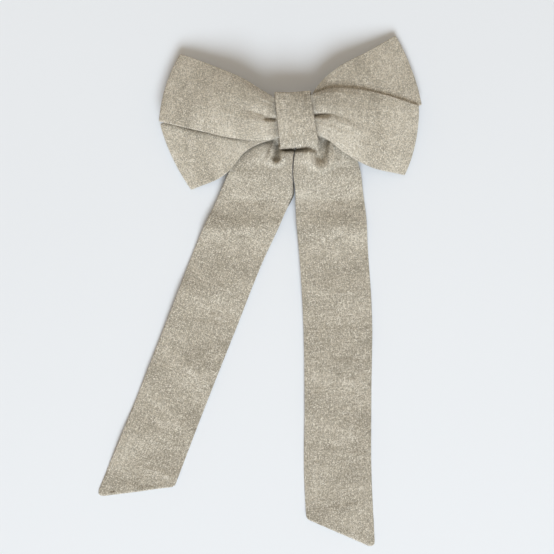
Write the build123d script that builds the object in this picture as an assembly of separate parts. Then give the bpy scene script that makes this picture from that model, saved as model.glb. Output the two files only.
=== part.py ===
from build123d import *
import os
from math import cos, radians, sin, tan

# Linen hair bow on a sprung barrette, lying face up on a table.
# Millimetres. +X runs along the barrette, +Y towards the top of the bow, +Z out of its face.
# The origin is on the table plane, under the middle of the barrette.

# ---------------------------------------------------------------- driving dimensions
CLOTH = 1.2                    # thickness of the ribbon, a sewn tube of linen pressed flat
FOLD = 2.8                     # thickness of a loop at its outer fold
PINCH_HALF = 10.45               # half the gathered stretch of a band, along X
PINCH_TOP = 12.7               # the gathered bands reach this far above the knot's middle
PINCH_BOTTOM = -9.2            # and this far below it
GAP = 0.3                      # clearance between soft parts that only touch

KNOT_WIDTH = 20.6              # along X
KNOT_HEIGHT = 31.0             # along Y

THREAD = 0.5                   # thickness of the sewing thread
THREAD_TURNS = (-4.0, -2.0, 0.0, 2.0, 4.0)   # where the gathering thread runs round, along X
THREAD_CORNER = 1.6            # how tightly it turns round the edges of the bands

TAIL_WIDTH = 38.5
TAIL_CUT = 30.0                # slant of the tail ends, degrees

BARRETTE_LENGTH = 82.0
BARRETTE_WIDTH = 8.0
BARRETTE_RISE = 5.0            # arch of the base plate between its flat ends
ARCH_HALF = 30.0               # half the length of the arched stretch
LAND_Z = 4.6                   # underside of the base plate's flat ends
PLATE = 0.8                    # base plate thickness

# Heights through the middle of the bow, from the barrette upwards.
PAD = 0.8                      # felt pad
PAD_TOP = LAND_Z + BARRETTE_RISE + PLATE + PAD
TAIL_ROOT = 2.0                # pleated tail, pressed flat under the knot
WRAP_LOW = PAD_TOP + TAIL_ROOT + 0.2   # the back of the knot wrap
BAND_PRESSED = 2.2             # a loop band where the knot presses it
SNUG = 0.1                     # air between layers that the knot squeezes together
REAR_LEVEL = WRAP_LOW + CLOTH + SNUG + BAND_PRESSED / 2
FRONT_LEVEL = REAR_LEVEL + BAND_PRESSED + SNUG
WRAP_HIGH = FRONT_LEVEL + BAND_PRESSED / 2 + 2 * SNUG + CLOTH

os.makedirs("parts", exist_ok=True)


def save(node, shape):
    """Writes one named node as STEP."""
    export_step(shape, f"parts/{node}.step")


def block(x, y, z):
    """A box given by its (low, high) limits along each axis."""
    size = [limits[1] - limits[0] for limits in (x, y, z)]
    centre = [(limits[1] + limits[0]) / 2 for limits in (x, y, z)]
    return Pos(*centre) * Box(*size)


def upright(radius, x, y, z):
    """A vertical cylinder between the heights in z."""
    return Pos(x, y, (z[0] + z[1]) / 2) * Cylinder(radius, z[1] - z[0])


def crosswise(radius, x, z, y):
    """A cylinder along Y between the limits in y."""
    return Pos(x, (y[0] + y[1]) / 2, z) * Rot(X=90) * Cylinder(radius, y[1] - y[0])


def arched_strip(half, flat_z, rise, thickness, width):
    """A strip along X, arched between -half and half, with its underside at flat_z at both ends."""
    with BuildSketch(Plane.XZ) as side:
        with BuildLine():
            ThreePointArc((-half, flat_z), (0, flat_z + rise), (half, flat_z))
            Line((half, flat_z), (half, flat_z + thickness))
            ThreePointArc(
                (half, flat_z + thickness),
                (0, flat_z + rise + thickness),
                (-half, flat_z + thickness),
            )
            Line((-half, flat_z + thickness), (-half, flat_z))
        make_face()
    return extrude(side.sketch, amount=width / 2, both=True)


# ---------------------------------------------------------------- loop bands
def pinched(x, level):
    """The station where a loop enters the knot."""
    return ((x, PINCH_TOP, level), (x, PINCH_BOTTOM, level), BAND_PRESSED)


# Stations of a loop from the knot out to the fold. Each is the ribbon's upper edge and lower edge
# as (x, y, z) of the middle of the two layers, then the thickness of the whole loop there.
FRONT_LEFT = (
    pinched(-PINCH_HALF, FRONT_LEVEL),
    ((-15.5, 16.7, 18.2), (-17.0, -10.0, 18.0), 2.8),
    ((-27.2, 25.7, 17.6), (-33.0, -7.6, 17.4), 4.6),
    ((-43.8, 35.4, 13.0), (-54.5, -0.8, 14.8), 5.0),
    ((-60.9, 44.1, 6.0), (-76.5, 6.5, 10.4), FOLD),
)
FRONT_RIGHT = (
    pinched(PINCH_HALF, FRONT_LEVEL),
    ((18.5, 15.0, 18.0), (15.6, -11.5, 18.0), 2.8),
    ((32.1, 14.9, 17.4), (25.3, -19.7, 17.4), 4.6),
    ((49.8, 11.0, 14.8), (39.7, -29.1, 14.0), 5.0),
    ((70.4, 3.4, 10.4), (59.5, -35.2, 6.0), FOLD),
)
REAR_LEFT = (
    pinched(-PINCH_HALF, REAR_LEVEL),
    ((-16.5, 14.4, 14.9), (-16.0, -10.1, 14.8), 2.4),
    ((-33.1, 13.7, 12.6), (-28.3, -14.1, 12.2), 3.2),
    ((-52.9, 10.2, 9.6), (-42.1, -26.3, 9.2), 3.4),
    ((-76.2, 3.9, 6.8), (-61.6, -32.6, 4.2), FOLD),
)
REAR_RIGHT = (
    pinched(PINCH_HALF, REAR_LEVEL),
    ((15.8, 19.5, 14.9), (18.2, -8.1, 14.9), 2.4),
    ((27.6, 28.4, 11.8), (35.5, -4.9, 12.0), 3.2),
    ((44.7, 36.2, 8.0), (55.3, -0.2, 8.6), 3.4),
    ((61.2, 44.3, 4.2), (72.4, 6.1, 6.4), FOLD),
)
FIRST_HOLLOW = 2               # the station where a loop's two layers part
FOLD_WALL = 1.3                # cloth left beyond the hollow at the fold


def loop_section(station, thickness, extra_width=0.0, towards_knot=0.0):
    """The rectangle of a loop's cross-section at one station."""
    upper, lower = Vector(*station[0]), Vector(*station[1])
    across = upper - lower
    outwards = Vector(across.Y, -across.X, 0).normalized()
    if outwards.X * (upper.X + lower.X) < 0:
        outwards = -outwards
    centre = (upper + lower) * 0.5 - outwards * towards_knot
    plane = Plane(centre, x_dir=across, z_dir=outwards)
    return plane * Rectangle(across.length + extra_width, thickness)


def loop_body(stations):
    """The loop with no hollow."""
    return loft([loop_section(station, station[2]) for station in stations])


def loop_hollow(stations):
    """The space between the loop's two layers, open at both of its edges."""
    sections = []
    for station in stations[FIRST_HOLLOW:]:
        inset = FOLD_WALL if station is stations[-1] else 0.0
        inner = station[2] - 2 * CLOTH
        sections.append(loop_section(station, inner, 4 * CLOTH, inset))
    return loft(sections)


def loop_band(loops, level):
    """Both loops of one band, joined by the gathered middle inside the knot."""
    band = block(
        (-PINCH_HALF, PINCH_HALF),
        (PINCH_BOTTOM, PINCH_TOP),
        (level - BAND_PRESSED / 2, level + BAND_PRESSED / 2),
    )
    for stations in loops:
        band += loop_body(stations)
    for stations in loops:
        band -= loop_hollow(stations)
    return band


def thread_turn(x, outer, inner):
    """One turn of thread round both bands: a rounded rectangle ring in the YZ plane."""
    low = REAR_LEVEL - BAND_PRESSED / 2
    high = FRONT_LEVEL + BAND_PRESSED / 2
    centre = (x, (PINCH_TOP + PINCH_BOTTOM) / 2, (low + high) / 2)
    width = PINCH_TOP - PINCH_BOTTOM
    height = high - low
    ring = RectangleRounded(width + 2 * outer, height + 2 * outer, THREAD_CORNER + outer)
    ring -= RectangleRounded(width - 2 * inner, height - 2 * inner, THREAD_CORNER - inner)
    return extrude(Plane(centre, x_dir=(0, 1, 0), z_dir=(1, 0, 0)) * ring, THREAD / 2, both=True)


def build_bands():
    """The bands are crossed in an X; the gathering thread bites a groove into both."""
    grooves = [thread_turn(x, THREAD, THREAD) for x in THREAD_TURNS]
    bands = (
        ("front_loop_band", (FRONT_LEFT, FRONT_RIGHT), FRONT_LEVEL),
        ("rear_loop_band", (REAR_LEFT, REAR_RIGHT), REAR_LEVEL),
    )
    for node, loops, level in bands:
        band = loop_band(loops, level)
        for groove in grooves:
            band -= groove
        save(node, band)
    turns = [thread_turn(x, 0.0, THREAD) for x in THREAD_TURNS]
    save("gathering_thread", Compound(children=turns))


# ---------------------------------------------------------------- knot
SEAM_STITCHES = 6
SEAM_PITCH = 2.8
SEAM_Y = (7.6, 9.8)            # where the wrap's lap is stitched down, on its back


def build_knot():
    """The wrap is a flattened ring round both bands."""
    height = WRAP_HIGH - WRAP_LOW
    corner = height / 2 - SNUG
    ring = RectangleRounded(KNOT_HEIGHT, height, corner)
    ring -= RectangleRounded(KNOT_HEIGHT - 2 * CLOTH, height - 2 * CLOTH, corner - CLOTH)
    centre = (0, 0, (WRAP_LOW + WRAP_HIGH) / 2)
    wrap = extrude(Plane(centre, x_dir=(0, 1, 0), z_dir=(1, 0, 0)) * ring, KNOT_WIDTH / 2, both=True)
    save("knot_wrap", wrap)


def build_seam_stitches():
    """Slip stitches that close the wrap along its lap, on its back above the tails."""
    stitches = []
    for index in range(SEAM_STITCHES):
        x = (index - (SEAM_STITCHES - 1) / 2) * SEAM_PITCH
        across = (x - THREAD / 2, x + THREAD / 2)
        stitches.append(block(across, SEAM_Y, (WRAP_LOW - THREAD, WRAP_LOW)))
    save("wrap_seam_stitches", Compound(children=stitches))


# ---------------------------------------------------------------- tails
# Each tail: side along X, lean from straight down, distance from the knot to the long tip,
# offset of the middle line from the pivot, and half the width of its gathered root.
TAIL_PIVOT_Y = -13.0
TAIL_SPLIT = 32.0              # radius about the pivot where the swinging length starts
LEFT_TAIL = dict(side=-1, pivot_x=-6.0, lean=-26.7, length=227.5, offset=-7.2)
RIGHT_TAIL = dict(side=1, pivot_x=6.0, lean=-3.5, length=233.0, offset=13.4)
TAIL_CLOTH = 1.6
TIP_ROUND = 3.0
ROOT_HALF = 5.4                # half the width of the gathered root
ROOT_Y = (-4.0, 16.0)          # the root's reach in front of and behind the pivot
ROOT_SPREAD = 0.9              # how far the outer edge spreads for each millimetre down, at the root
LEAVE = 3.0                    # distances from the pivot: where the tail leaves the barrette,
FLARE = 30.0                   # where it has its full width,
DOWN = 52.0                    # and where it lies on the table
LEAVE_SLOPE = 0.35
LAND_SLOPE = 0.05
END_STITCHES = 7
END_PITCH = 4.6
END_INSET = 2.0


def tail_outline(tail):
    """The tail's outline in its own plan frame: +X across, -Y along it, pivot at the origin."""
    side, offset, length = tail["side"], tail["offset"], tail["length"]
    half = TAIL_WIDTH / 2
    outer = offset + side * half
    inner = offset - side * half
    slant = TAIL_WIDTH * tan(radians(TAIL_CUT))
    lean = radians(tail["lean"])
    upright_root = [(x * side * ROOT_HALF, y) for x, y in (
        (1, ROOT_Y[1]), (1, ROOT_Y[0]), (-1, ROOT_Y[0]), (-1, ROOT_Y[1]),
    )]
    root = [
        (x * cos(lean) + y * sin(lean), -x * sin(lean) + y * cos(lean)) for x, y in upright_root
    ]
    with BuildSketch() as plan:
        with BuildLine():
            Polyline(root[2], root[3], root[0], root[1])
            Spline(root[1], (outer, -FLARE), tangents=((side * ROOT_SPREAD, -1), (0, -1)))
            Polyline((outer, -FLARE), (outer, -length), (inner, -length + slant), (inner, -FLARE))
            Spline((inner, -FLARE), root[2], tangents=((0, 1), (side * ROOT_SPREAD / 4, 1)))
        make_face()
    sharp = plan.sketch.vertices().filter_by(lambda v: v.Y < -FLARE - 1)
    return fillet(sharp, TIP_ROUND)


def tail_side_view(tail):
    """The tail's thickness seen from its side: off the barrette, down to the table, then flat."""
    low = PAD_TOP
    high = PAD_TOP + TAIL_ROOT
    back = ROOT_Y[1] + LEAVE
    end = -tail["length"] - LEAVE
    reach = tail["length"] / 2
    with BuildSketch() as view:
        with BuildLine():
            Polyline((-LEAVE, low), (back, low), (back, high), (-LEAVE, high))
            Spline(
                (-LEAVE, high), (-DOWN, TAIL_CLOTH),
                tangents=((-1, -LEAVE_SLOPE), (-1, -LAND_SLOPE)), tangent_scalars=(0.8, 1.1),
            )
            Polyline((-DOWN, TAIL_CLOTH), (end, TAIL_CLOTH), (end, 0), (-DOWN, 0))
            Spline(
                (-DOWN, 0), (-LEAVE, low),
                tangents=((1, LAND_SLOPE), (1, LEAVE_SLOPE)), tangent_scalars=(1.1, 0.8),
            )
        make_face()
    side_plane = Plane((0, 0, 0), x_dir=(0, 1, 0), z_dir=(1, 0, 0))
    return extrude(side_plane * view.sketch, amount=reach, both=True)


def tail_solids(tail):
    """(gathered root, swinging length) of one tail, in place."""
    solid = extrude(tail_outline(tail), amount=WRAP_HIGH) & tail_side_view(tail)
    place = tail_place(tail)
    inside = upright(TAIL_SPLIT, 0, 0, (-1, WRAP_HIGH))
    outside = upright(TAIL_SPLIT + GAP, 0, 0, (-1, WRAP_HIGH))
    return place * (solid & inside), place * (solid - outside)


def tail_place(tail):
    return Pos(tail["pivot_x"], TAIL_PIVOT_Y, 0) * Rot(Z=tail["lean"])


def end_stitches(tail):
    """Slip stitches that close the tail's end, a row on its upper face beside the slanted cut."""
    slant = TAIL_WIDTH / 2 * tan(radians(TAIL_CUT))
    row = Pos(tail["offset"], -tail["length"] + slant + END_INSET, TAIL_CLOTH + THREAD / 2)
    row = row * Rot(Z=-tail["side"] * TAIL_CUT)
    first = -(END_STITCHES - 1) / 2
    places = [row * Pos((first + index) * END_PITCH, 0, 0) for index in range(END_STITCHES)]
    return tail_place(tail) * Compound(
        children=[place * Box(END_PITCH / 2, THREAD, THREAD) for place in places]
    )


def build_tails():
    for name, tail in (("left", LEFT_TAIL), ("right", RIGHT_TAIL)):
        root, length = tail_solids(tail)
        save(f"{name}_tail_root", root)
        save(f"{name}_tail", length)
        save(f"{name}_tail_end_stitches", end_stitches(tail))


# ---------------------------------------------------------------- barrette
PIN_X = -37.0
PIN_Z = 1.8
PIN_RADIUS = 0.6
PIN_HEAD = (0.95, 0.35)        # radius and thickness of the pin's peened ends
BARREL_RADIUS = 1.35
BORE_RADIUS = PIN_RADIUS + 0.06
EAR = 0.8
EAR_INNER = 2.7                # half the gap between the two ears that hold the pin
EAR_HALF = 1.8

ARM_WIDTH = 4.6
ARM_PLATE = 0.7
ARM_LOW = PIN_Z - BARREL_RADIUS
ARM_RISE = 3.2
ARM_ARCH_HALF = 33.0
FRAME_X = (33.6, 40.2)         # the frame at the arm's free end, and the window inside it
FRAME_HALF = 4.2
WINDOW_X = (34.4, 39.2)
WINDOW_HALF = 3.05

BAR_PLATE = 0.4
BAR_WIDTH = 3.6
BAR_RISE = 2.4
BAR_RIVET_X = 32.0
RIVET_RADIUS = 0.9
RIVET_HEAD = (1.5, 0.4)        # radius and thickness

CATCH_X = 36.8
CATCH_PLATE = 0.5
CATCH_HALF = 2.6               # half the width over the two wings, and half the length of the web
LEG_HALF = 2.0
LEG_LOW = 0.05
BARB = (0.35, 0.3)             # how far the barb stands out, and its height
GRIP_X = (42.4, 43.6)          # finger grips beyond the arm's end
GRIP_OUTER = 4.2

PAD_HALF = 28.0
PAD_WIDTH = 12.0
STITCH_X = 22.0
STITCH_Y = 2.2
STITCH_HOLE = 0.7
STITCH_SLACK = 0.45
THROUGH = (0, 20)              # a drill's reach, past everything in the barrette


def both_sides(inner, outer):
    """The two mirrored stretches between inner and outer, as (low, high) limits."""
    return (-outer, -inner), (inner, outer)


def stitch_places():
    """The four holes that the pad is sewn through."""
    return [(x, y) for x in (-STITCH_X, STITCH_X) for y in (-STITCH_Y, STITCH_Y)]


def arch_top(x):
    """Height of the base plate's upper face above the table at x."""
    radius = (ARCH_HALF**2 + BARRETTE_RISE**2) / (2 * BARRETTE_RISE)
    return LAND_Z + BARRETTE_RISE - radius + (radius**2 - x**2) ** 0.5 + PLATE


def build_base():
    """Arched plate with flat ends, two ears for the hinge pin, and its rivet and sewing holes."""
    half = BARRETTE_LENGTH / 2
    width = (-BARRETTE_WIDTH / 2, BARRETTE_WIDTH / 2)
    base = arched_strip(ARCH_HALF, LAND_Z, BARRETTE_RISE, PLATE, BARRETTE_WIDTH)
    for span in both_sides(ARCH_HALF, half):
        base += block(span, width, (LAND_Z, LAND_Z + PLATE))
    corners = base.edges().filter_by(Axis.Z).filter_by(lambda e: abs(e.center().X) > half - 0.1)
    base = fillet(corners, 2.0)
    ear_x = (PIN_X - EAR_HALF, PIN_X + EAR_HALF)
    for faces in both_sides(EAR_INNER, EAR_INNER + EAR):
        base += block(ear_x, faces, (PIN_Z, LAND_Z))
        base += crosswise(EAR_HALF, PIN_X, PIN_Z, faces)
    base -= crosswise(PIN_RADIUS, PIN_X, PIN_Z, (-BARRETTE_WIDTH, BARRETTE_WIDTH))
    for x in (-BAR_RIVET_X, BAR_RIVET_X, CATCH_X):
        base -= upright(RIVET_RADIUS, x, 0, THROUGH)
    for x, y in stitch_places():
        base -= upright(STITCH_HOLE, x, y, THROUGH)
    save("barrette_base", base)


def build_arm():
    """Arched arm with a rolled barrel at the hinge and a window frame at the catch."""
    middle = (FRAME_X[0] + PIN_X) / 2
    width = (-ARM_WIDTH / 2, ARM_WIDTH / 2)
    flat = (ARM_LOW, ARM_LOW + ARM_PLATE)
    arch = arched_strip(ARM_ARCH_HALF, ARM_LOW, ARM_RISE, ARM_PLATE, ARM_WIDTH)
    frame = block(FRAME_X, (-FRAME_HALF, FRAME_HALF), flat)
    arm = Pos(middle, 0, 0) * arch
    arm += block((PIN_X, middle - ARM_ARCH_HALF), width, flat)
    arm += block((middle + ARM_ARCH_HALF, WINDOW_X[0]), width, flat)
    arm += fillet(frame.edges().filter_by(Axis.Z), 1.2)
    arm -= block(WINDOW_X, (-WINDOW_HALF, WINDOW_HALF), THROUGH)
    arm += crosswise(BARREL_RADIUS, PIN_X, PIN_Z, width)
    arm -= crosswise(BORE_RADIUS, PIN_X, PIN_Z, width)
    save("clasp_arm", arm)


def build_pin():
    """Hinge pin with both ends peened over outside the ears."""
    reach = EAR_INNER + EAR
    radius, thickness = PIN_HEAD
    pin = crosswise(PIN_RADIUS, PIN_X, PIN_Z, (-reach, reach))
    for span in both_sides(reach, reach + thickness):
        pin += crosswise(radius, PIN_X, PIN_Z, span)
    save("hinge_pin", pin)


def build_tension_bar():
    """Thin arched leaf riveted under both ends of the base plate."""
    level = (LAND_Z - BAR_PLATE, LAND_Z)
    width = (-BAR_WIDTH / 2, BAR_WIDTH / 2)
    bar = arched_strip(ARCH_HALF, level[0], BAR_RISE, BAR_PLATE, BAR_WIDTH)
    for span in both_sides(ARCH_HALF, BAR_RIVET_X):
        bar += block(span, width, level)
    for x in (-BAR_RIVET_X, BAR_RIVET_X):
        bar += upright(BAR_WIDTH / 2, x, 0, level)
        bar -= upright(RIVET_RADIUS, x, 0, THROUGH)
    save("tension_bar", bar)


def rivet(x, low):
    """A rivet with a head at both ends, from the underside at low up through the base plate."""
    high = LAND_Z + PLATE
    radius, thickness = RIVET_HEAD
    shape = upright(RIVET_RADIUS, x, 0, (low, high))
    shape += upright(radius, x, 0, (high, high + thickness))
    shape += upright(radius, x, 0, (low - thickness, low))
    return shape


def build_rivets():
    """Two rivets for the tension bar and one for the catch."""
    pair = [rivet(x, LAND_Z - BAR_PLATE) for x in (-BAR_RIVET_X, BAR_RIVET_X)]
    save("bar_rivets", Compound(children=pair))
    save("catch_rivet", rivet(CATCH_X, LAND_Z - CATCH_PLATE))


def build_catch():
    """A riveted web, and two wings that spring inwards when their grips are pinched."""
    web_low = LAND_Z - CATCH_PLATE
    web_x = (CATCH_X - CATCH_HALF, CATCH_X + CATCH_HALF)
    web = block(web_x, (-CATCH_HALF, CATCH_HALF), (web_low, LAND_Z))
    web -= upright(RIVET_RADIUS, CATCH_X, 0, THROUGH)
    save("catch_web", web)
    leg_x = (CATCH_X - LEG_HALF, CATCH_X + LEG_HALF)
    high = web_low - SNUG
    above_arm = (ARM_LOW + ARM_PLATE + 0.6, high)
    barb_out, barb_height = BARB
    inner = CATCH_HALF - CATCH_PLATE
    legs = both_sides(inner, CATCH_HALF)
    barbs = both_sides(CATCH_HALF, CATCH_HALF + barb_out)
    grips = both_sides(inner, GRIP_OUTER)
    for name, leg, barb, grip in zip(("lower", "upper"), legs, barbs, grips):
        wing = block(leg_x, leg, (LEG_LOW, high))
        wing += block((leg_x[1], GRIP_X[1]), leg, above_arm)
        wing += block(leg_x, barb, (LEG_LOW, LEG_LOW + barb_height))
        wing += block(GRIP_X, grip, above_arm)
        save(f"catch_wing_{name}", wing)


# ---------------------------------------------------------------- backing
def pad_stitch(x):
    """One loop of thread, down through the pad and base plate and back, at x."""
    top = arch_top(x) + PAD
    low = arch_top(x) - PLATE
    height = top - low + 2 * STITCH_SLACK
    ring = RectangleRounded(2 * STITCH_Y + THREAD, height + 2 * THREAD, 0.6)
    ring -= RectangleRounded(2 * STITCH_Y - THREAD, height, 0.3)
    across = Plane((x, 0, (top + low) / 2), x_dir=(0, 1, 0), z_dir=(1, 0, 0))
    return extrude(across * ring, amount=THREAD / 2, both=True)


def build_backing():
    """Felt pad on the base plate, and the thread that sews the two together."""
    pad = arched_strip(ARCH_HALF, LAND_Z + PLATE, BARRETTE_RISE, PAD, PAD_WIDTH)
    pad &= block((-PAD_HALF, PAD_HALF), (-PAD_WIDTH, PAD_WIDTH), THROUGH)
    for x, y in stitch_places():
        pad -= upright(STITCH_HOLE, x, y, THROUGH)
    save("backing_pad", pad)
    save("pad_stitches", Compound(children=[pad_stitch(x) for x in (-STITCH_X, STITCH_X)]))


build_bands()
build_knot()
build_seam_stitches()
build_tails()
build_base()
build_arm()
build_pin()
build_tension_bar()
build_rivets()
build_catch()
build_backing()
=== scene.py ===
import math

import bpy
import numpy as np
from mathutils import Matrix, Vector


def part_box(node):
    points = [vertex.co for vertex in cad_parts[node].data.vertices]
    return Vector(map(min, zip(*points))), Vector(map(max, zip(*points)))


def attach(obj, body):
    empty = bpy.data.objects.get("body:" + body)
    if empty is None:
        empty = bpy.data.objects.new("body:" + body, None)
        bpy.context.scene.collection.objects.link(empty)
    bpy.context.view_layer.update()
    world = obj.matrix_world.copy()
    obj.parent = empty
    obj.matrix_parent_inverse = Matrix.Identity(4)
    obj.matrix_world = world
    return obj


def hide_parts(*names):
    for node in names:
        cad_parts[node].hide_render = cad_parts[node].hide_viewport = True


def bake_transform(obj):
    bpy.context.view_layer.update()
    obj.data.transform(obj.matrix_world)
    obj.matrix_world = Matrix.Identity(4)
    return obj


# Looks of a linen hair bow lying face up. Shapes are worked out in millimetres in the row frame
# (+X along the barrette, +Y away from the tails, +Z out of the bow's face) and made in metres.

MM = 0.001
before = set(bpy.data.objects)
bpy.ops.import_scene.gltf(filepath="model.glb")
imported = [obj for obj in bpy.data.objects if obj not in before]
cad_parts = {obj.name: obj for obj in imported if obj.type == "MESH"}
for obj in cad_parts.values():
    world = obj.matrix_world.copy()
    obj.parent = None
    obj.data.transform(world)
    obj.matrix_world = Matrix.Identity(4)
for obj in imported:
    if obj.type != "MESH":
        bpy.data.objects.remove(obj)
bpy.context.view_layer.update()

RIBBON = 40.0                  # finished width of the sewn linen tube
CLOTH = 1.1                    # its thickness, pressed flat
PAD_CLOTH = 0.8                # thickness of the felt pad
TAIL_WIDTH = 38.6
TAIL_SLANT = 10.7              # how far each end corner lies before or beyond the middle of the cut
TIP_ROUND = 4.2                # rounding of a tail's long corner
HEEL_ROUND = 1.8               # and of its short corner


def box_mm(node):
    """(lowest corner, highest corner) of a CAD node in millimetres."""
    low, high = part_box(node)
    return np.array(low) / MM, np.array(high) / MM


KNOT_LOW, KNOT_HIGH = box_mm("knot_wrap")
PAD_LOW, PAD_HIGH = box_mm("backing_pad")
BAND_LOW = box_mm("gathering_thread")[0][2]
BAND_HIGH = box_mm("gathering_thread")[1][2]
REAR_LEVEL = BAND_LOW + (BAND_HIGH - BAND_LOW) / 4
FRONT_LEVEL = BAND_HIGH - (BAND_HIGH - BAND_LOW) / 4


# ---------------------------------------------------------------- curves and cloth meshes
def through(at, values, where):
    """Reads, at the places in where, a smooth curve that passes through the values at the places in at."""
    at = np.asarray(at, float)
    values = np.asarray(values, float)
    where = np.clip(np.asarray(where, float), at[0], at[-1])
    slopes = np.gradient(values, at, axis=0)
    left = np.clip(np.searchsorted(at, where, side="right") - 1, 0, len(at) - 2)
    width = at[left + 1] - at[left]
    t = (where - at[left]) / width
    if values.ndim > 1:
        t = t[..., None]
        width = width[..., None]
    start = (1 + 2 * t) * (1 - t) ** 2 * values[left] + t * (1 - t) ** 2 * width * slopes[left]
    end = t * t * (3 - 2 * t) * values[left + 1] - t * t * (1 - t) * width * slopes[left + 1]
    return start + end


def bell(x, width):
    """1 at 0, falling smoothly to nothing about two widths away."""
    return np.exp(-((x / width) ** 2))


def ease(x, low, high):
    """0 below low, 1 above high, smooth between."""
    t = np.clip((x - low) / (high - low), 0, 1)
    return t * t * (3 - 2 * t)


def ripples(x, y, seed, wavelength, count=6):
    """Gentle uneven waves of height about 1 over the plane."""
    draw = np.random.default_rng(seed)
    total = np.zeros(np.broadcast(x, y).shape)
    for _ in range(count):
        angle = draw.uniform(0, math.pi)
        stretch = draw.uniform(0.7, 1.6) * wavelength
        phase = draw.uniform(0, 2 * math.pi)
        total += np.sin(2 * math.pi * (x * math.cos(angle) + y * math.sin(angle)) / stretch + phase)
    return total / math.sqrt(count)


def run_along(points):
    """Distance of each point along the line through them."""
    return np.concatenate([[0], np.cumsum(np.linalg.norm(np.diff(points, axis=0), axis=1))])


def across_places(count=57, edge=4, cloth=CLOTH, width=RIBBON):
    """(places from -1 to 1 across a ribbon, closer together on its two rounded edges, and the share of
    the half width that one rounded edge takes)."""
    rim = cloth / width
    bend = 1 - rim * (1 - np.sin(np.linspace(0, math.pi / 2, edge, endpoint=False)))
    inner = np.linspace(-1 + rim, 1 - rim, count - 2 * edge)
    outside = 2 - rim - bend[::-1]
    return np.concatenate([-outside[::-1], inner, outside]), rim


def middle_line(table):
    """Middle between the two edges at each station."""
    return (table[:, :3] + table[:, 3:6]) / 2


def edge_share(places, rim):
    """Share of the cloth's half thickness left at each place across, round at both folded edges."""
    inside = np.clip((1 - np.abs(places)) / rim, 0, 1)
    return np.sqrt(np.clip(1 - (1 - inside) ** 2, 0, 1))


def even_half(places, rim, count):
    """Half thickness of a ribbon that is the same in all of its count rows."""
    return np.repeat((CLOTH / 2 * edge_share(places, rim))[None], count, axis=0)


def surface_normals(rows, closed):
    """Unit normals of a grid of points, by differences along and across."""
    if closed:
        along = np.roll(rows, -1, axis=0) - np.roll(rows, 1, axis=0)
    else:
        along = np.gradient(rows, axis=0)
    across = np.gradient(rows, axis=1)
    normals = np.cross(along, across)
    length = np.linalg.norm(normals, axis=2, keepdims=True)
    return normals / np.maximum(length, 1e-9)


def strip_faces(count, wide, loop, closed):
    """Faces of a strip of count rows with loop points around each, wide of them on its upper side."""
    faces = []
    for i in range(count if closed else count - 1):
        j = (i + 1) % count
        for k in range(loop):
            m = (k + 1) % loop
            faces.append((j * loop + k, j * loop + m, i * loop + m, i * loop + k))
    if closed:
        return faces
    for row, first in ((0, True), (count - 1, False)):
        for k in range(wide - 1):
            upper = (row * loop + k, row * loop + k + 1)
            lower = (row * loop + (loop - k - 1) % loop, row * loop + (loop - k) % loop)
            corners = list(dict.fromkeys(upper + lower))
            faces.append(corners if first else corners[::-1])
    return faces


def lay_uv(mesh, places, length=None):
    """Gives every face corner its place on the flat cloth. length is the way round, for a ring."""
    layer = mesh.uv_layers.new(name="Cloth")
    for polygon in mesh.polygons:
        corners = [places[mesh.loops[c].vertex_index] for c in polygon.loop_indices]
        along = [place[0] for place in corners]
        joins_ends = length is not None and max(along) - min(along) > length / 2
        for c, place in zip(polygon.loop_indices, corners):
            turn = length if joins_ends and place[0] < length / 2 else 0.0
            layer.data[c].uv = (place[0] + turn, place[1])


def cloth_piece(name, rows, uv, half, closed, material):
    """A strip of cloth. rows is its middle surface, row by row in millimetres, uv the place of each
    point on the flat cloth, half its half thickness there. A closed strip is a ring."""
    normals = surface_normals(rows, closed)
    count, wide = rows.shape[:2]
    upper = rows + normals * half[..., None]
    lower = (rows - normals * half[..., None])[:, -2:0:-1]
    around = np.concatenate([upper, lower], axis=1)
    flat = np.concatenate([uv, uv[:, -2:0:-1]], axis=1)
    mesh = bpy.data.meshes.new(name)
    points = (around.reshape(-1, 3) * MM).tolist()
    mesh.from_pydata(points, [], strip_faces(count, wide, around.shape[1], closed))
    length = None
    if closed:
        along = uv[:, wide // 2, 0]
        length = along.max() + (along[1] - along[0])
    lay_uv(mesh, flat.reshape(-1, 2), length)
    mesh.polygons.foreach_set("use_smooth", [True] * len(mesh.polygons))
    mesh.validate()
    mesh.update()
    piece = bpy.data.objects.new(name, mesh)
    bpy.context.scene.collection.objects.link(piece)
    mesh.materials.append(material)
    return piece


def ring_uv(rows, places, width):
    """Places on the flat cloth: distance along the middle of the strip, and across it."""
    along = run_along(rows[:, rows.shape[1] // 2])
    u = np.repeat(along[:, None], rows.shape[1], axis=1)
    v = np.repeat(places[None, :] * width / 2, rows.shape[0], axis=0)
    return np.stack([u, v], axis=2)


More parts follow.
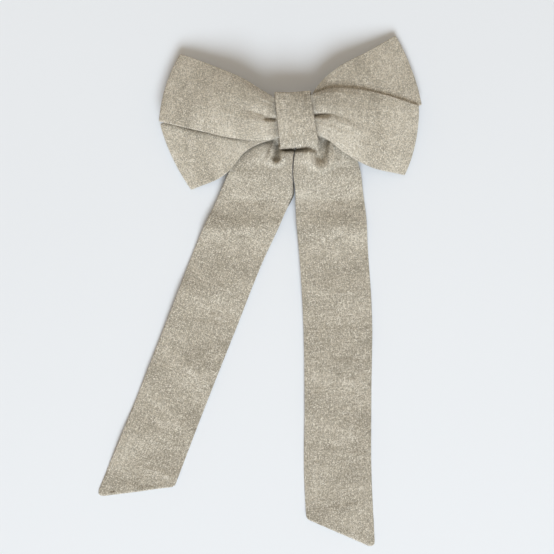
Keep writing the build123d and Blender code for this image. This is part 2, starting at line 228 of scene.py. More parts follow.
# ---------------------------------------------------------------- materials
class Nodes:
    """Short calls for building a node tree."""

    def __init__(self, name):
        self.material = bpy.data.materials.new(name)
        self.material.use_nodes = True
        self.tree = self.material.node_tree
        self.shader = self.tree.nodes["Principled BSDF"]

    def add(self, kind, **settings):
        """A new node of one kind."""
        node = self.tree.nodes.new("ShaderNode" + kind)
        for key, value in settings.items():
            setattr(node, key, value)
        return node

    def put(self, socket, value):
        """Links a socket, or sets its value."""
        if isinstance(value, bpy.types.NodeSocket):
            self.tree.links.new(value, socket)
        else:
            socket.default_value = value

    def maths(self, operation, *values):
        node = self.add("Math", operation=operation)
        for socket, value in zip(node.inputs, values):
            self.put(socket, value)
        return node.outputs[0]

    def between(self, value, low, high, start=0.0, end=1.0):
        """value mapped from low..high to start..end, held at the ends."""
        node = self.add("MapRange", interpolation_type="SMOOTHSTEP")
        for name, v in zip(("Value", "From Min", "From Max", "To Min", "To Max"),
                           (value, low, high, start, end)):
            self.put(node.inputs[name], v)
        return node.outputs[0]

    def either(self, choice, first, second):
        """first where choice is 0, second where it is 1."""
        node = self.add("Mix", data_type="FLOAT")
        for place, value in ((0, choice), (2, first), (3, second)):
            self.put(node.inputs[place], value)
        return node.outputs[0]

    def weighed(self, *parts):
        """Sum of (value, share) parts."""
        total = self.maths("MULTIPLY", *parts[0])
        for value, share in parts[1:]:
            total = self.maths("ADD", total, self.maths("MULTIPLY", value, share))
        return total

    def joined(self, x, y, z=0.0):
        """A vector from three values."""
        node = self.add("CombineXYZ")
        for socket, value in zip(node.inputs, (x, y, z)):
            self.put(socket, value)
        return node.outputs[0]

    def noise(self, vector, scale=1.0, detail=2.0, rough=0.5):
        node = self.add("TexNoise")
        self.put(node.inputs["Vector"], vector)
        node.inputs["Scale"].default_value = scale
        node.inputs["Detail"].default_value = detail
        node.inputs["Roughness"].default_value = rough
        return node.outputs["Fac"]

    def shade(self, factor, stops):
        """A colour ramp through (place, colour) stops."""
        node = self.add("ValToRGB")
        ramp = node.color_ramp
        while len(ramp.elements) < len(stops):
            ramp.elements.new(0.5)
        for element, (place, colour) in zip(ramp.elements, stops):
            element.position = place
            element.color = (*colour, 1)
        self.put(node.inputs[0], factor)
        return node.outputs[0]

    def bump(self, height, distance, strength=1.0, onto=None):
        node = self.add("Bump")
        node.inputs["Strength"].default_value = strength
        node.inputs["Distance"].default_value = distance
        self.put(node.inputs["Height"], height)
        if onto is not None:
            self.put(node.inputs["Normal"], onto)
        return node.outputs[0]


def scaled(colour, by):
    """A colour made lighter or darker."""
    return tuple(min(1.0, c * by) for c in colour)


YARN = 0.47                    # spacing of the linen's yarns
STRAY = 1.6                    # how far they stray from straight
YARN_RUN = 16.0                # length over which one yarn's tone changes
SLUB = (9.0, 0.6)              # length and width of a thick place in a yarn
SLUB_SHOWS = (0.60, 0.72)      # noise levels between which a slub appears
MIDDLE_TONE = 0.995            # sum of the tones halfway between the darkest and palest yarn,
TONE_SPREAD = 0.34             # and how far it lies from either
PATCHES = (0.075, 0.03)        # broad tonal patches per millimetre along and across
# Colour of the palest yarns, and of the painted glints that reach the top of the ramp.
PALE_YARN_AND_GLINT = (0.86, 0.81, 0.71)


def yarn_places(n, uv):
    """Places along and across the cloth: in millimetres, then counted in yarns."""
    apart = n.add("SeparateXYZ")
    n.put(apart.inputs[0], uv)
    wobble = n.noise(uv, scale=0.09, detail=1.0)
    shift = n.maths("MULTIPLY", n.maths("SUBTRACT", wobble, 0.5), STRAY)
    u = n.maths("ADD", apart.outputs[0], shift)
    v = n.maths("ADD", apart.outputs[1], shift)
    return u, v, n.maths("DIVIDE", u, YARN), n.maths("DIVIDE", v, YARN)


def yarn_top(n, place):
    """1 on top of a yarn, 0 between two yarns."""
    off = n.maths("SUBTRACT", n.maths("FRACT", place), 0.5)
    return n.maths("SUBTRACT", 1.0, n.maths("MULTIPLY", n.maths("MULTIPLY", off, off), 4.0))


def plain_weave(n, a, b):
    """(1 where the weft is on top, height of the yarns)."""
    square = n.maths("ADD", n.maths("FLOOR", a), n.maths("FLOOR", b))
    weft_on_top = n.maths("ABSOLUTE", n.maths("MODULO", square, 2.0))
    along, across = yarn_top(n, a), yarn_top(n, b)
    warp = n.maths("MULTIPLY", across, n.maths("POWER", along, 0.35))
    weft = n.maths("MULTIPLY", along, n.maths("POWER", across, 0.35))
    return weft_on_top, n.either(weft_on_top, warp, weft)


def yarn_tone(n, u, v, a, b, weft_on_top):
    """Each yarn differs from its neighbours and changes slowly along its own length."""
    warp = n.noise(n.joined(n.maths("DIVIDE", u, YARN_RUN), b), detail=3.0, rough=0.6)
    weft = n.noise(n.joined(a, n.maths("DIVIDE", v, YARN_RUN), 7.0), detail=3.0, rough=0.6)
    return n.either(weft_on_top, warp, weft)


def slubs(n, u, v):
    """Thick places in the yarns of both directions."""
    length, width = SLUB
    warp = n.noise(n.joined(n.maths("DIVIDE", u, length), n.maths("DIVIDE", v, width)))
    weft = n.noise(n.joined(n.maths("DIVIDE", u, width), n.maths("DIVIDE", v, length), 3.0))
    return n.maths("MAXIMUM", n.between(warp, *SLUB_SHOWS), n.between(weft, *SLUB_SHOWS))


def linen_material(name, base):
    """Plain-weave linen: uneven yarns over and under each other, slubs and broad tonal patches, with
    painted glints, and painted light and shade on the weave.
    """
    n = Nodes(name)
    uv = n.add("UVMap", uv_map="Cloth").outputs[0]
    u, v, a, b = yarn_places(n, uv)
    weft_on_top, weave = plain_weave(n, a, b)
    tone = yarn_tone(n, u, v, a, b, weft_on_top)
    squares = n.add("TexWhiteNoise", noise_dimensions="2D")
    n.put(squares.inputs["Vector"], n.joined(n.maths("FLOOR", a), n.maths("FLOOR", b)))
    crossing = squares.outputs["Value"]
    # Sparse bright specks painted into the colour: painted glints that stand in for light glinting off the
    # fibres.
    painted_glint = n.between(crossing, 0.93, 0.97)
    slub = slubs(n, u, v)
    along, across = PATCHES
    patches = n.noise(n.joined(n.maths("MULTIPLY", u, along), n.maths("MULTIPLY", v, across)))
    # The weft_on_top and weave shares paint weft-up squares and the tops of the yarns lighter and the gaps
    # between yarns darker: painted light and shade of the weave.
    total = n.weighed(
        (tone, 0.70), (crossing, 0.42), (painted_glint, 0.30), (weft_on_top, 0.16), (patches, 0.45),
        (slub, 0.26), (weave, 0.16),
    )
    level = n.between(total, MIDDLE_TONE - TONE_SPREAD, MIDDLE_TONE + TONE_SPREAD)
    n.put(n.shader.inputs["Base Color"], n.shade(level, (
        (0.0, scaled(base, 0.52)), (0.35, scaled(base, 0.87)), (0.65, scaled(base, 1.10)), (1.0, PALE_YARN_AND_GLINT),
    )))
    n.put(n.shader.inputs["Roughness"], n.between(tone, 0.3, 0.7, 0.78, 0.92))
    n.shader.inputs["Specular IOR Level"].default_value = 0.25
    n.shader.inputs["Sheen Weight"].default_value = 0.12
    n.shader.inputs["Sheen Roughness"].default_value = 0.6
    height = n.maths("ADD", weave, n.maths("MULTIPLY", slub, 0.6))
    fuzz = n.bump(n.noise(uv, scale=2.6, detail=4.0, rough=0.7), 0.00015, 0.5)
    n.put(n.shader.inputs["Normal"], n.bump(height, 0.00022, 0.85, onto=fuzz))
    return n.material


def thread_material(name, base):
    """Two-ply sewing thread: slanting plies and a little fuzz."""
    n = Nodes(name)
    where = n.add("TexCoord").outputs["Object"]
    plies = n.add("TexWave", wave_type="BANDS", bands_direction="DIAGONAL")
    n.put(plies.inputs["Vector"], where)
    plies.inputs["Scale"].default_value = 900.0
    plies.inputs["Distortion"].default_value = 1.5
    tone = n.noise(where, scale=500.0)
    mixed = n.weighed((plies.outputs["Fac"], 0.5), (tone, 0.5))
    n.put(n.shader.inputs["Base Color"], n.shade(mixed, (
        (0.2, scaled(base, 0.7)), (0.8, scaled(base, 1.2)),
    )))
    n.put(n.shader.inputs["Roughness"], n.between(tone, 0.3, 0.7, 0.7, 0.9))
    n.put(n.shader.inputs["Normal"], n.bump(plies.outputs["Fac"], 0.0001, 0.6))
    return n.material


def felt_material(name, base):
    """Pressed felt: matted fibres with no direction, and a few pale specks."""
    n = Nodes(name)
    where = n.add("TexCoord").outputs["Object"]
    fibres = n.noise(where, scale=2200.0, detail=5.0, rough=0.75)
    mats = n.noise(where, scale=260.0, detail=3.0)
    mixed = n.weighed((fibres, 0.6), (mats, 0.4))
    n.put(n.shader.inputs["Base Color"], n.shade(mixed, (
        (0.3, scaled(base, 0.75)), (0.55, base), (0.75, scaled(base, 1.3)),
    )))
    n.put(n.shader.inputs["Roughness"], n.between(fibres, 0.3, 0.7, 0.88, 1.0))
    n.shader.inputs["Sheen Weight"].default_value = 0.3
    n.put(n.shader.inputs["Normal"], n.bump(mixed, 0.0004, 0.8))
    return n.material


def metal_material(name, base, brushed=1.0):
    """Satin metal: lines rolled along the strip, faint stains, and brighter worn edges."""
    n = Nodes(name)
    where = n.add("TexCoord").outputs["Object"]
    apart = n.add("SeparateXYZ")
    n.put(apart.inputs[0], where)
    x, y, z = apart.outputs
    lines = n.noise(n.joined(n.maths("MULTIPLY", x, 60.0), n.maths("MULTIPLY", y, 4200.0),
                             n.maths("MULTIPLY", z, 900.0)), detail=3.0)
    stains = n.noise(where, scale=140.0, detail=4.0, rough=0.65)
    worn = n.between(n.add("NewGeometry").outputs["Pointiness"], 0.52, 0.60)
    tone = n.weighed((lines, 0.35), (stains, 0.65), (worn, 0.25))
    n.put(n.shader.inputs["Base Color"], n.shade(tone, (
        (0.25, scaled(base, 0.78)), (0.55, base), (0.85, scaled(base, 1.25)),
    )))
    n.shader.inputs["Metallic"].default_value = 1.0
    rough = n.between(stains, 0.3, 0.7, 0.22, 0.36)
    rough = n.maths("ADD", rough, n.maths("MULTIPLY", lines, 0.1 * brushed))
    n.put(n.shader.inputs["Roughness"], rough)
    n.put(n.shader.inputs["Normal"], n.bump(lines, 0.00002, 0.35 * brushed))
    return n.material


LINEN_COLOUR = (0.562, 0.504, 0.402)  # of the tails; the loops and knot are painted a little paler, as painted light
tail_linen = linen_material("tail_linen", LINEN_COLOUR)
# The loops and knot use the tails' linen painted lighter: painted light that makes up for the dimmer light
# falling on the bow's head.
loop_linen_painted_light = linen_material("loop_linen_painted_light", scaled(LINEN_COLOUR, 1.13))
knot_linen_painted_light = linen_material("knot_linen_painted_light", scaled(LINEN_COLOUR, 1.05))
thread = thread_material("sewing_thread", (0.50, 0.45, 0.36))
felt = felt_material("felt", (0.46, 0.42, 0.34))
nickel = metal_material("nickel_plate", (0.66, 0.65, 0.62))
spring = metal_material("spring_steel", (0.52, 0.52, 0.53), brushed=1.6)


# ---------------------------------------------------------------- loop bands
def pinched(side, level):
    """The station where a loop enters the knot."""
    x = side * (KNOT_HIGH[0] - 0.3)
    top = box_mm("gathering_thread")[1][1]
    bottom = box_mm("gathering_thread")[0][1]
    return (x, top, level, x, bottom, level, CLOTH)


# Stations of a loop from the knot out to the fold: the ribbon's upper edge, its lower edge, each as
# (x, y, z) of the middle of the two layers, then the distance between the two layers.
FRONT_LEFT = (
    pinched(-1, FRONT_LEVEL),
    (-15.5, 16.7, 17.4, -17.0, -10.0, 17.8, 1.8),
    (-27.2, 25.7, 15.8, -33.0, -7.6, 16.0, 3.4),
    (-43.8, 35.4, 12.0, -54.5, -0.8, 13.4, 3.8),
    (-60.6, 44.1, 6.0, -75.6, 6.5, 9.8, 2.2),
)
FRONT_RIGHT = (
    pinched(1, FRONT_LEVEL),
    (18.5, 15.0, 17.4, 15.6, -11.5, 17.0, 1.8),
    (32.1, 14.9, 15.6, 25.3, -19.7, 14.8, 3.4),
    (49.8, 11.0, 12.3, 39.7, -29.1, 10.8, 3.8),
    (69.9, 3.4, 8.8, 59.0, -35.0, 5.0, 2.2),
)
REAR_LEFT = (
    pinched(-1, REAR_LEVEL),
    (-16.5, 14.4, 14.9, -16.0, -10.1, 14.6, 1.4),
    (-33.1, 13.7, 12.6, -28.3, -14.1, 11.4, 2.2),
    (-52.9, 11.6, 9.2, -42.1, -26.3, 7.8, 2.4),
    (-75.4, 6.0, 6.0, -61.2, -32.6, 3.4, 1.8),
)
REAR_RIGHT = (
    pinched(1, REAR_LEVEL),
    (15.8, 19.5, 14.6, 18.2, -8.1, 14.9, 1.4),
    (27.6, 28.4, 12.2, 35.5, -4.9, 12.8, 1.8),
    (44.7, 36.2, 8.6, 55.3, -1.6, 9.6, 2.2),
    (60.9, 44.3, 3.6, 72.0, 3.4, 6.2, 1.8),
)
LOOP_ROWS = 64
FOLD_STEPS = 9
FOLD_CALM = 12.0               # soft waves fade over this distance from the fold
LOOP_WAVES = 34.0              # length of the soft waves in the loops
# The narrow hollow that runs out from each side of the knot: its two ends and half its width.
LEFT_DENT = ((-9.0, 1.0), (-15.8, 1.4), 1.15)
RIGHT_DENT = ((9.0, 1.8), (17.2, 0.6), 1.5)
DENT_DEEP = 3.4
DENT_LIP = 0.25
PLEAT_HEIGHT = 2.6             # of the two large gathers
PLEAT_REACH = 19.0
FINE_PLEATS = 10
# Creases that run out from the knot: place across the ribbon (-1 to 1), height, width and reach.
LEFT_CREASES = ((0.30, 0.5, 0.10, 22), (-0.30, 0.5, 0.08, 26))
RIGHT_CREASES = ((-0.20, 0.45, 0.09, 28), (0.72, 0.6, 0.12, 30), (-0.50, 0.35, 0.08, 40))
LEFT_CROSSING = ((-33.0, -7.6), (-75.6, 6.5))  # the front band's lower edge over the rear band
TUCK_DEEP = 1.3                # how far the rear band turns down there


def hollow(x, y, start, end, width, deep, lip):
    """A pucker: a hollow along a line, widening and rising to its end, with a raised lip around it."""
    run = np.subtract(end, start)
    share = np.clip(((x - start[0]) * run[0] + (y - start[1]) * run[1]) / (run @ run), 0, 1)
    off = np.hypot(x - start[0] - share * run[0], y - start[1] - share * run[1])
    width = width * (0.7 + 0.5 * share)
    deep = deep * (1 - 0.35 * share**2)
    rim = lip * (0.3 + share) * bell(off - 1.9 * width, 0.55 * width)
    return rim - deep * np.exp(-((off / width) ** 4))


def tuck(x, y, line):
    """How far cloth turns down where it goes under another layer whose edge runs along the line."""
    (x0, y0), (x1, y1) = line
    past = y - y0 - (x - x0) * (y1 - y0) / (x1 - x0)
    return TUCK_DEEP * ease(past, -1.6, 0.6) * ease(np.abs(x), 20, 40)


def pleat(away, v, deep, seed, creases):
    """Height of the gathers, away millimetres from the knot: two ridges that fade out, and fine ones."""
    lift = (1 - bell(away, 3.5)) * bell(away, PLEAT_REACH)
    across = np.sin(math.pi * np.abs(v)) ** 0.8 + 0.35 * (1 - v**2) * bell(away - 16, 9)
    ridges = PLEAT_HEIGHT * lift * across
    draw = np.random.default_rng(seed)
    fine = np.zeros_like(away * v)
    for _ in range(FINE_PLEATS):
        place = draw.uniform(-0.95, 0.95)
        reach = draw.uniform(10, 38)
        fine += draw.uniform(-0.65, 0.55) * bell(away, reach) * bell(v - place, 0.05 + 0.003 * away)
    for place, height, wide, reach in creases:
        fine += height * bell(away - reach / 3, reach) * bell(v - place, wide)
    return deep * (ridges + fine * ease(away, 0, 4))


def loop_middle(table, at, away, v, bow_out):
    """(surface midway between a loop's two layers, distance between them in each row)."""
    line = through(at, table, away)
    upper, lower, gap = line[:, None, :3], line[:, None, 3:6], line[:, 6][:, None, None]
    sheet = lower + (upper - lower) * (v[None, :, None] + 1) / 2
    # The fold is a little fuller in its middle than at its two corners.
    outwards = np.gradient(middle_line(table), at, axis=0)[-1]
    outwards /= np.linalg.norm(outwards)
    reach = (away / at[-1])[:, None, None]
    return sheet + outwards * bow_out * (1 - v[None, :, None] ** 2) * reach**2, gap


def round_fold(sheet, outer, inner):
    """Rows round the fold, on a half circle that carries on from both layers."""
    leave = sheet[-1] - sheet[-2]
    leave /= np.linalg.norm(leave, axis=1, keepdims=True)
    rise = (outer[-1] - inner[-1]) / 2
    centre = (outer[-1] + inner[-1]) / 2
    radius = np.linalg.norm(rise, axis=1, keepdims=True)
    angles = np.linspace(math.pi / 2, -math.pi / 2, FOLD_STEPS + 2)[1:-1]
    return np.array([centre + rise * math.sin(t) + leave * radius * math.cos(t) for t in angles])


def loop_sheets(stations, dent, deep, crown, seed, bow_out, creases, under=None):
    """(outer layer, fold, inner layer) of one loop as rows of points from the knot out, round and back."""
    table = np.array(stations, float)
    at = run_along(middle_line(table))
    away = at[-1] * np.linspace(0, 1, LOOP_ROWS) ** 1.15
    v, _ = across_places()
    sheet, gap = loop_middle(table, at, away, v, bow_out)
    x, y = sheet[..., 0], sheet[..., 1]
    a, w = away[:, None], v[None, :]
    soft = ripples(x, y, seed, LOOP_WAVES)
    calm = ease(a, 4, 20) * (1 - 0.6 * ease(a, at[-1] - FOLD_CALM, at[-1]))
    swell = crown * np.sin(math.pi * np.clip(a / at[-1], 0, 1) ** 0.8) * (1 - w**2)
    shape = pleat(a, w, deep, seed, creases) + 0.35 * soft * calm
    if under is not None:
        shape = shape - tuck(x, y, under)
    pucker = hollow(x, y, *dent, DENT_DEEP, DENT_LIP) * ease(a, 0, 1.2)
    up = np.array([0, 0, 1.0])
    # The two layers close up towards the ribbon's edges.
    apart = CLOTH + (gap - CLOTH) * (1 - np.abs(w) ** 2.5)[..., None]
    outer = sheet + up * (apart / 2 + (shape + swell + pucker)[..., None])
    inner = sheet - up * (apart / 2 - (0.55 * shape + pucker)[..., None])
    return outer, round_fold(sheet, outer, inner), inner[::-1]


def band(name, node, left, right, deep, crown, seed, bow_out, under=None):
    """A ring of ribbon: out to the left fold and back behind, out to the right fold and back in front.
    deep scales its gathers, crown is the rise of its middle, bow_out how far its folds curve outwards,
    under the edge of cloth that its left side goes under. Returns (the piece, its length round)."""
    outer_l, fold_l, inner_l = loop_sheets(
        left, LEFT_DENT, deep, crown, seed, bow_out, LEFT_CREASES, under
    )
    outer_r, fold_r, inner_r = loop_sheets(
        right, RIGHT_DENT, deep, crown, seed + 1, bow_out, RIGHT_CREASES
    )
    front = (outer_l[0] + outer_r[0]) / 2
    back = (inner_l[-1] + inner_r[-1]) / 2
    rows = np.concatenate([
        front[None], outer_l, fold_l, inner_l, back[None],
        inner_r[::-1], fold_r[::-1], outer_r[::-1],
    ])
    places, rim = across_places()
    uv = ring_uv(rows, places, RIBBON)
    half = even_half(places, rim, len(rows))
    piece = cloth_piece(name, rows, uv, half, True, loop_linen_painted_light)
    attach(piece, "bow")
    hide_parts(node)
    return piece, uv[:, 0, 0].max() * MM


def build_bands():
    """The two rings that cross under the knot, the rear one gathered less."""
    rear, rear_length = band(
        "rear_loops", "rear_loop_band", REAR_LEFT, REAR_RIGHT,
        deep=0.35, crown=0.5, seed=21, bow_out=1.6, under=LEFT_CROSSING,
    )
    front, front_length = band(
        "front_loops", "front_loop_band", FRONT_LEFT, FRONT_RIGHT,
        deep=1.0, crown=2.4, seed=11, bow_out=2.0,
    )


# ---------------------------------------------------------------- knot
KNOT_ROWS = 120
KNOT_SQUARE = 0.56             # power that squares the ring's oval up
KNOT_DOME = 1.7                # rise of its visible face
TOP_SLOPE = 1.7                # the face's top edge drops this far to the right and rises to the left
FOOT_SLOPE = 1.0               # and its foot slopes the other way
HEM_DEEP = 0.7                 # groove along the wrap's folded hem


def squared(wave):
    """A sine or cosine with its curve squared up."""
    return np.sign(wave) * np.abs(wave) ** KNOT_SQUARE


def build_knot():
    """The wrap is a ring of folded linen that hugs the gathered bands, a little wider at its foot."""
    low, high = KNOT_LOW, KNOT_HIGH
    centre = (low + high) / 2
    half_y = (high[1] - low[1]) / 2 - CLOTH / 2
    half_z = (high[2] - low[2]) / 2 - CLOTH / 2
    width = high[0] - low[0]
    places, rim = across_places(29, 4, CLOTH, width)
    turn = np.linspace(0, 2 * math.pi, KNOT_ROWS, endpoint=False)[:, None]
    y = half_y * squared(np.cos(turn))
    z = half_z * squared(np.sin(turn))
    v = places[None, :]
    face = ease(np.sin(turn), 0.0, 0.5)
    up = y / half_y * face     # from -1 at the foot of the visible face to 1 at its top
    right = width / 2 * (1 + 0.035 * face - 0.13 * up)
    left = width / 2 * (1 - 0.045 * face + 0.03 * up)
    x = np.where(v > 0, v * right, v * left)
    lobes = 0.5 * np.sin(math.pi * np.abs(v)) - 0.3 * bell(v, 0.25)
    hem = -HEM_DEEP * bell(v - 0.84 + 0.10 * up, 0.04) * ease(y, -2, 8)
    soft = 0.16 * ripples(x, y, 5, 14.0)
    z = z + face * (KNOT_DOME * (1 - (y / half_y) ** 2) + lobes + hem + soft)
    y = y - TOP_SLOPE * v * ease(up, 0.2, 1.0) + FOOT_SLOPE * v * ease(-up, 0.2, 1.0)
    rows = np.stack([x, y + centre[1], z + centre[2]], axis=2)
    uv = ring_uv(rows, places, width)
    half = even_half(places, rim, len(rows))
    piece = cloth_piece("knot_cloth", rows, uv, half, True, knot_linen_painted_light)
    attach(piece, "bow")
    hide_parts("knot_wrap")


# ---------------------------------------------------------------- tails
# Stations of a tail from behind the knot to the middle of its cut: its -X edge, then its +X edge.
LEFT_TAIL = (
    (-9.0, -3.0, 12.6, -0.9, -3.0, 12.6),
    (-15.0, -8.5, 9.8, -0.7, -12.5, 11.0),
    (-22.6, -10.5, 8.0, -2.6, -20.0, 10.6),
    (-31.0, -14.8, 6.4, -4.1, -30.0, 9.2),
    (-38.4, -22.6, 5.2, -3.7, -40.0, 7.4),
    (-43.9, -31.9, 3.8, -9.2, -49.5, 5.4),
    (-50.0, -43.0, 2.8, -15.2, -60.5, 4.2),
    (-57.0, -54.8, 2.4, -22.2, -72.4, 3.2),
    (-79.3, -99.1, 2.2, -44.7, -116.5, 2.2),
    (-101.3, -143.4, 1.8, -66.9, -160.8, 1.3),
    (-127.4, -194.2, 0.9, -91.3, -211.2, 0.9),
)
RIGHT_TAIL = (
    (0.9, -3.0, 12.6, 9.0, -3.0, 12.6),
    (-0.1, -12.5, 11.0, 15.5, -9.0, 11.0),
    (-2.0, -20.0, 10.6, 24.0, -12.5, 9.6),
    (-3.5, -29.0, 9.4, 31.0, -19.0, 8.0),
    (-3.1, -38.0, 7.8, 34.8, -29.5, 6.0),
    (-3.6, -47.0, 5.6, 35.6, -43.0, 3.2),
    (-4.0, -58.0, 4.4, 36.2, -57.0, 2.4),
    (-3.9, -70.0, 3.2, 35.8, -70.0, 2.0),
    (-5.0, -115.0, 2.0, 34.6, -114.0, 1.5),
    (-8.4, -162.0, 1.1, 30.4, -159.5, 1.0),
    (-12.0, -200.0, 0.9, 26.8, -199.4, 1.0),
    (-13.4, -237.3, 0.9, 25.2, -236.5, 0.9),
)
# The puckers under the knot: one in each tail's root and one across both, each as the two ends of its
# hollow and half its width.
LEFT_HOLLOW = ((-10.6, -10.5), (-12.2, -19.6), 1.8)
RIGHT_HOLLOW = ((16.4, -12.5), (13.0, -20.4), 3.2)
HOLLOW_DEEP = 6.2
HOLLOW_LIP = 1.7
FOOT_HOLLOW = ((-8.0, -15.8), (9.5, -16.9), 1.2)
FOOT_DEEP = 4.2
FOOT_LIP = 0.5
ROOT_ARCH = 3.6                # height of the arch where a tail comes out from under the knot
# Humps and dips level across the picture: distance down it from the frame's origin, height, width.
HUMPS = (
    (25.5, -0.8, 3.0), (44.3, -0.7, 2.6), (59.5, 2.3, 7.0), (96.0, 0.9, 8.0), (142.0, 0.8, 9.0),
    (178.0, 0.7, 7.0),
)
VIEW_TURN = math.radians(-5.0)  # turn of the camera over the bow
TAIL_WAVES = 36.0              # length of the soft waves in the tails
CREASES = 9                    # fine creases in each tail,
CREASE_PLACES = (70, 225)      # the stretch of the tail that they lie in,
CREASE_TILT = 0.12             # and how far they slant
TUCK_PLACE = 35                # where the left tail's inner edge goes under the right tail,
LEFT_TUCK_DEEP = 3.8           # and how far it turns down
COMES_OUT = (6, 12)            # stretch of a tail over which it comes out from under the knot
TAIL_ROWS = 190                # rows of points square across the tail
END_ROWS = 44                  # and those that turn to follow its slanted cut,
END_RUN = 44.0                 # over the last stretch
STITCH_GAP = 5.2               # between the puckers of the sewn end
TABLE_GAP = 0.05               # air under a tail that lies on the table


def tail_end(w, side, length):
    """Where the cloth stops, w millimetres across: a slanted cut with rounded corners."""
    half = TAIL_WIDTH / 2
    radius = np.where(w * side > 0, TIP_ROUND, HEEL_ROUND)
    beyond = np.clip(np.abs(w) - (half - radius), 0, radius)
    rounding = radius - np.sqrt(radius**2 - beyond**2)
    return length + side * TAIL_SLANT * w / half - rounding


def root_arch(t, v, side):
    """Height of the arch under the knot. At its inner edge it leans on the other tail."""
    outer = (v * side + 0.45) / 1.45
    along = ease(t, 6, 16) * bell(t - 20, 15)
    return ROOT_ARCH * along * (1 - np.abs(outer) ** 5)


def humps_across(v, x, y):
    """Height of the broad humps and dips, lower towards the tail's edges."""
    down = -(y * math.cos(VIEW_TURN) - x * math.sin(VIEW_TURN))
    total = np.zeros_like(down)
    for place, height, width in HUMPS:
        total += height * bell(down - place, width) * (1 - 0.55 * v**2)
    return total


def creases_across(t, v, seed):
    """Height of the fine creases across a tail, each with a low ridge on its far side."""
    draw = np.random.default_rng(seed)
    total = np.zeros_like(t * v)
    for _ in range(CREASES):
        place = draw.uniform(*CREASE_PLACES)
        tilt = draw.uniform(-CREASE_TILT, CREASE_TILT)
        reach = draw.uniform(0.5, 1.6)
        off = t - place - tilt * v * TAIL_WIDTH
        fold = bell(off - 2.5, 4) - bell(off, 1.1)
        total += draw.uniform(0.12, 0.4) * fold * bell(v - 0.3, reach)
    return total


def left_tuck(t, v):
    """How far the left tail's inner edge turns down under the right tail's."""
    off = t - TUCK_PLACE
    begins = 0.95 - 0.12 * bell(off, 7)
    return LEFT_TUCK_DEEP * ease(v, begins, 1.0) * bell(off, 9)


def tail_shape(t, v, x, y, side, seed):
    """Height added to the line of a tail: root arch, humps, creases, soft waves and wavy edges."""
    shape = root_arch(t, v, side) + humps_across(v, x, y) + creases_across(t, v, seed)
    waves = ripples(x, y, seed, TAIL_WAVES) * 0.45 * ease(t, 34, 70)
    edges = 0.5 * np.sin(t / 11.0 + seed) * v**3 * ease(t, 50, 80)
    if side < 0:
        shape = shape - left_tuck(t, v)
    return shape + waves + edges


def end_seam(w, to_end, seed):
    """Height of the sewn end, which stands up a little and puckers at its stitches."""
    pucker = 0.2 * np.sin(2 * math.pi * w / STITCH_GAP + seed) + 0.1
    return pucker * bell(to_end, 3.2) + 0.4 * bell(to_end, 9)


def above_table(z):
    """Heights kept above the table, running smoothly onto it."""
    floor = CLOTH / 2 + TABLE_GAP
    softness = 0.35
    return floor + np.logaddexp(0, (z - floor) / softness) * softness


def tail_places(length, ends):
    """Places along the tail, row by row: square across at first, then turning to end at ends."""
    straight = length - END_RUN
    rows_down = straight * np.linspace(0, 1, TAIL_ROWS) ** 1.2
    share = (1 - (1 - np.linspace(0, 1, END_ROWS)[1:]) ** 1.25)[:, None]
    return np.concatenate([
        np.repeat(rows_down[:, None], len(ends), axis=1),
        straight + (ends[None, :] - straight) * share,
    ])


def tail(name, stations, side, dent, seed, nodes):
    """One tail: puckered under the knot, humped up, then sloping to the table and lying on it."""
    table = np.array(stations, float)
    last = table[-1] - table[-2]
    table = np.vstack([table, table[-1] + last * 2 * TAIL_SLANT / np.linalg.norm(last[:2])])
    middle = middle_line(table)
    at = run_along(middle)
    length = at[-2]
    places, rim = across_places(57, 4, CLOTH, TAIL_WIDTH)
    w = places * TAIL_WIDTH / 2
    ends = tail_end(w, side, length)
    t = tail_places(length, ends)
    line = through(at, table, t)
    across = ((places + 1) / 2)[None, :, None]
    rows = line[..., :3] * (1 - across) + line[..., 3:] * across
    x, y = rows[..., 0], rows[..., 1]
    to_end = ends[None, :] - t
    z = rows[..., 2] + tail_shape(t, places[None, :], x, y, side, seed)
    z = z + hollow(x, y, *dent, HOLLOW_DEEP, HOLLOW_LIP) * ease(t, *COMES_OUT)
    z = z + hollow(x, y, *FOOT_HOLLOW, FOOT_DEEP, FOOT_LIP) * ease(t, *COMES_OUT)
    z = z + end_seam(w, to_end, seed)
    rows[..., 2] = above_table(z)
    uv = np.stack([t, np.repeat(w[None, :], len(t), axis=0)], axis=2)
    taper = np.sqrt(np.clip(1 - (1 - np.clip(to_end / CLOTH, 0.02, 1)) ** 2, 0, 1))
    half = CLOTH / 2 * edge_share(places, rim)[None, :] * taper
    piece = cloth_piece(name, rows, uv, half, False, tail_linen)
    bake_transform(piece)
    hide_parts(*nodes)


def build_tails():
    """The two tails, the left one's inner edge under the right one's."""
    tail("left_tail_cloth", LEFT_TAIL, -1, LEFT_HOLLOW, 31,
         ("left_tail_root", "left_tail"))
    tail("right_tail_cloth", RIGHT_TAIL, 1, RIGHT_HOLLOW, 47,
         ("right_tail_root", "right_tail"))


# ---------------------------------------------------------------- backing
def build_pad():
    """Felt pad that follows the barrette's arch."""
    low, high = PAD_LOW, PAD_HIGH
    half = (high[0] - low[0]) / 2
    places, rim = across_places(15, 4, PAD_CLOTH, high[1] - low[1])
    x = np.linspace(-half, half, 60)[:, None]
    top = high[2] - PAD_CLOTH / 2
    drop = (high[2] - low[2] - PAD_CLOTH) * (x / half) ** 2
    y = places[None, :] * (high[1] - low[1]) / 2 * (1 - 0.12 * (np.abs(x) / half) ** 8)
    z = top - drop + 0.05 * ripples(x, y, 8, 9.0)
    rows = np.stack([np.broadcast_to(x, y.shape), y, np.broadcast_to(z, y.shape)], axis=2)
    uv = ring_uv(rows, places, high[1] - low[1])
    ends = np.clip((half - np.abs(x)) / PAD_CLOTH, 0.05, 1)
    half_thick = PAD_CLOTH / 2 * edge_share(places, rim)[None] * np.sqrt(1 - (1 - ends) ** 2)
    piece = cloth_piece("felt_pad", rows, uv, half_thick, False, felt)
    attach(piece, "bow")
    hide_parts("backing_pad")


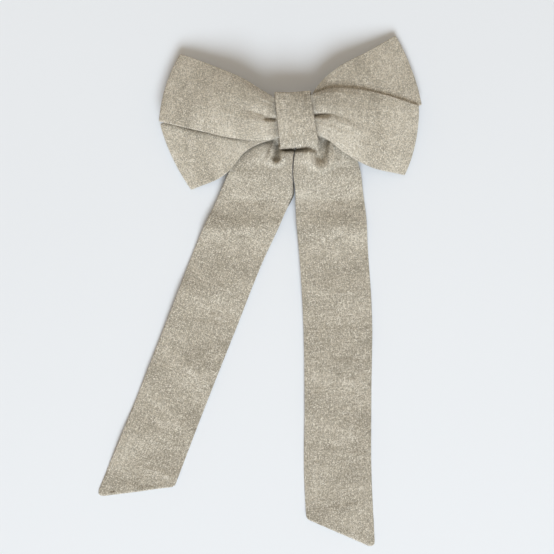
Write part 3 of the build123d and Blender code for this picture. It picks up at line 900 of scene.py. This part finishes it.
def paint_cad():
    """Materials for the CAD nodes that stay in view."""
    finishes = {
        "barrette_base": nickel, "clasp_arm": nickel, "hinge_pin": nickel, "bar_rivets": nickel,
        "catch_rivet": nickel, "tension_bar": spring, "catch_web": spring,
        "catch_wing_upper": spring, "catch_wing_lower": spring,
        "gathering_thread": thread, "wrap_seam_stitches": thread, "pad_stitches": thread,
        "left_tail_end_stitches": thread, "right_tail_end_stitches": thread,
    }
    for node, material in finishes.items():
        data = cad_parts[node].data
        data.materials.clear()
        data.materials.append(material)


# ---------------------------------------------------------------- stage
WORLD_HEIGHTS = (0.10, 0.30)   # sines of the heights above the horizon that the backdrop fades between
WORLD_COLOURS = ((0.74, 0.76, 0.79), (0.385, 0.318, 0.232))
STAGE_MIDDLE = (0, -0.1, 0)
KEY_PLACE = (0.13, -3.68, 3.38)
FILL_PLACE = (-0.3, 0.2, 2.4)
CAMERA_PLACE = (-0.0177, -0.0869, 0.65)
CAMERA_LENS = 73.4
FLOOR_REACH = 3.0


def floor_material():
    """Pale matt table with a very faint unevenness."""
    n = Nodes("pale_table")
    where = n.add("TexCoord").outputs["Object"]
    tone = n.noise(where, scale=2.5, detail=2.0)
    n.put(n.shader.inputs["Base Color"], n.shade(tone, (
        (0.3, (0.80, 0.825, 0.86)), (0.7, (0.82, 0.845, 0.88)),
    )))
    n.shader.inputs["Roughness"].default_value = 0.9
    n.shader.inputs["Specular IOR Level"].default_value = 0.2
    return n.material


def area_light(name, place, size, power, colour):
    """A round light pointed at the middle of the bow."""
    data = bpy.data.lights.new(name, "AREA")
    data.shape = "DISK"
    data.size = size
    data.energy = power
    data.color = colour
    light = bpy.data.objects.new(name, data)
    light.location = place
    aim = Vector(STAGE_MIDDLE) - Vector(place)
    light.rotation_euler = aim.to_track_quat("-Z", "Y").to_euler()
    bpy.context.scene.collection.objects.link(light)


def studio_world():
    """Warm surroundings overhead, paling to a backdrop like the table near the horizon."""
    world = bpy.data.worlds.new("studio")
    world.use_nodes = True
    nodes, links = world.node_tree.nodes, world.node_tree.links
    apart = nodes.new("ShaderNodeSeparateXYZ")
    links.new(nodes.new("ShaderNodeTexCoord").outputs["Generated"], apart.inputs[0])
    ramp = nodes.new("ShaderNodeValToRGB")
    links.new(apart.outputs[2], ramp.inputs[0])
    for element, place, colour in zip(ramp.color_ramp.elements, WORLD_HEIGHTS, WORLD_COLOURS):
        element.position = place
        element.color = (*colour, 1)
    links.new(ramp.outputs[0], nodes["Background"].inputs[0])
    return world


def build_stage():
    """Floor, lights and the camera that looks straight down."""
    mesh = bpy.data.meshes.new("floor")
    corners = [(x * FLOOR_REACH, y * FLOOR_REACH, 0) for x, y in ((-1, -1), (1, -1), (1, 1), (-1, 1))]
    mesh.from_pydata(corners, [], [(0, 1, 2, 3)])
    floor = bpy.data.objects.new("floor", mesh)
    mesh.materials.append(floor_material())
    bpy.context.scene.collection.objects.link(floor)
    area_light("key", KEY_PLACE, size=2.86, power=246.0, colour=(0.82, 0.908, 1.0))
    area_light("fill", FILL_PLACE, size=1.6, power=6.0, colour=(0.87, 0.935, 1.0))
    bpy.context.scene.world = studio_world()
    bpy.context.scene.view_settings.view_transform = "Standard"
    camera = bpy.data.objects.new("camera", bpy.data.cameras.new("camera"))
    camera.location = CAMERA_PLACE
    camera.rotation_euler = (0, 0, VIEW_TURN)
    camera.data.lens = CAMERA_LENS
    bpy.context.scene.collection.objects.link(camera)
    bpy.context.scene.camera = camera


build_stage()
build_tails()
build_bands()
build_knot()
build_pad()
paint_cad()
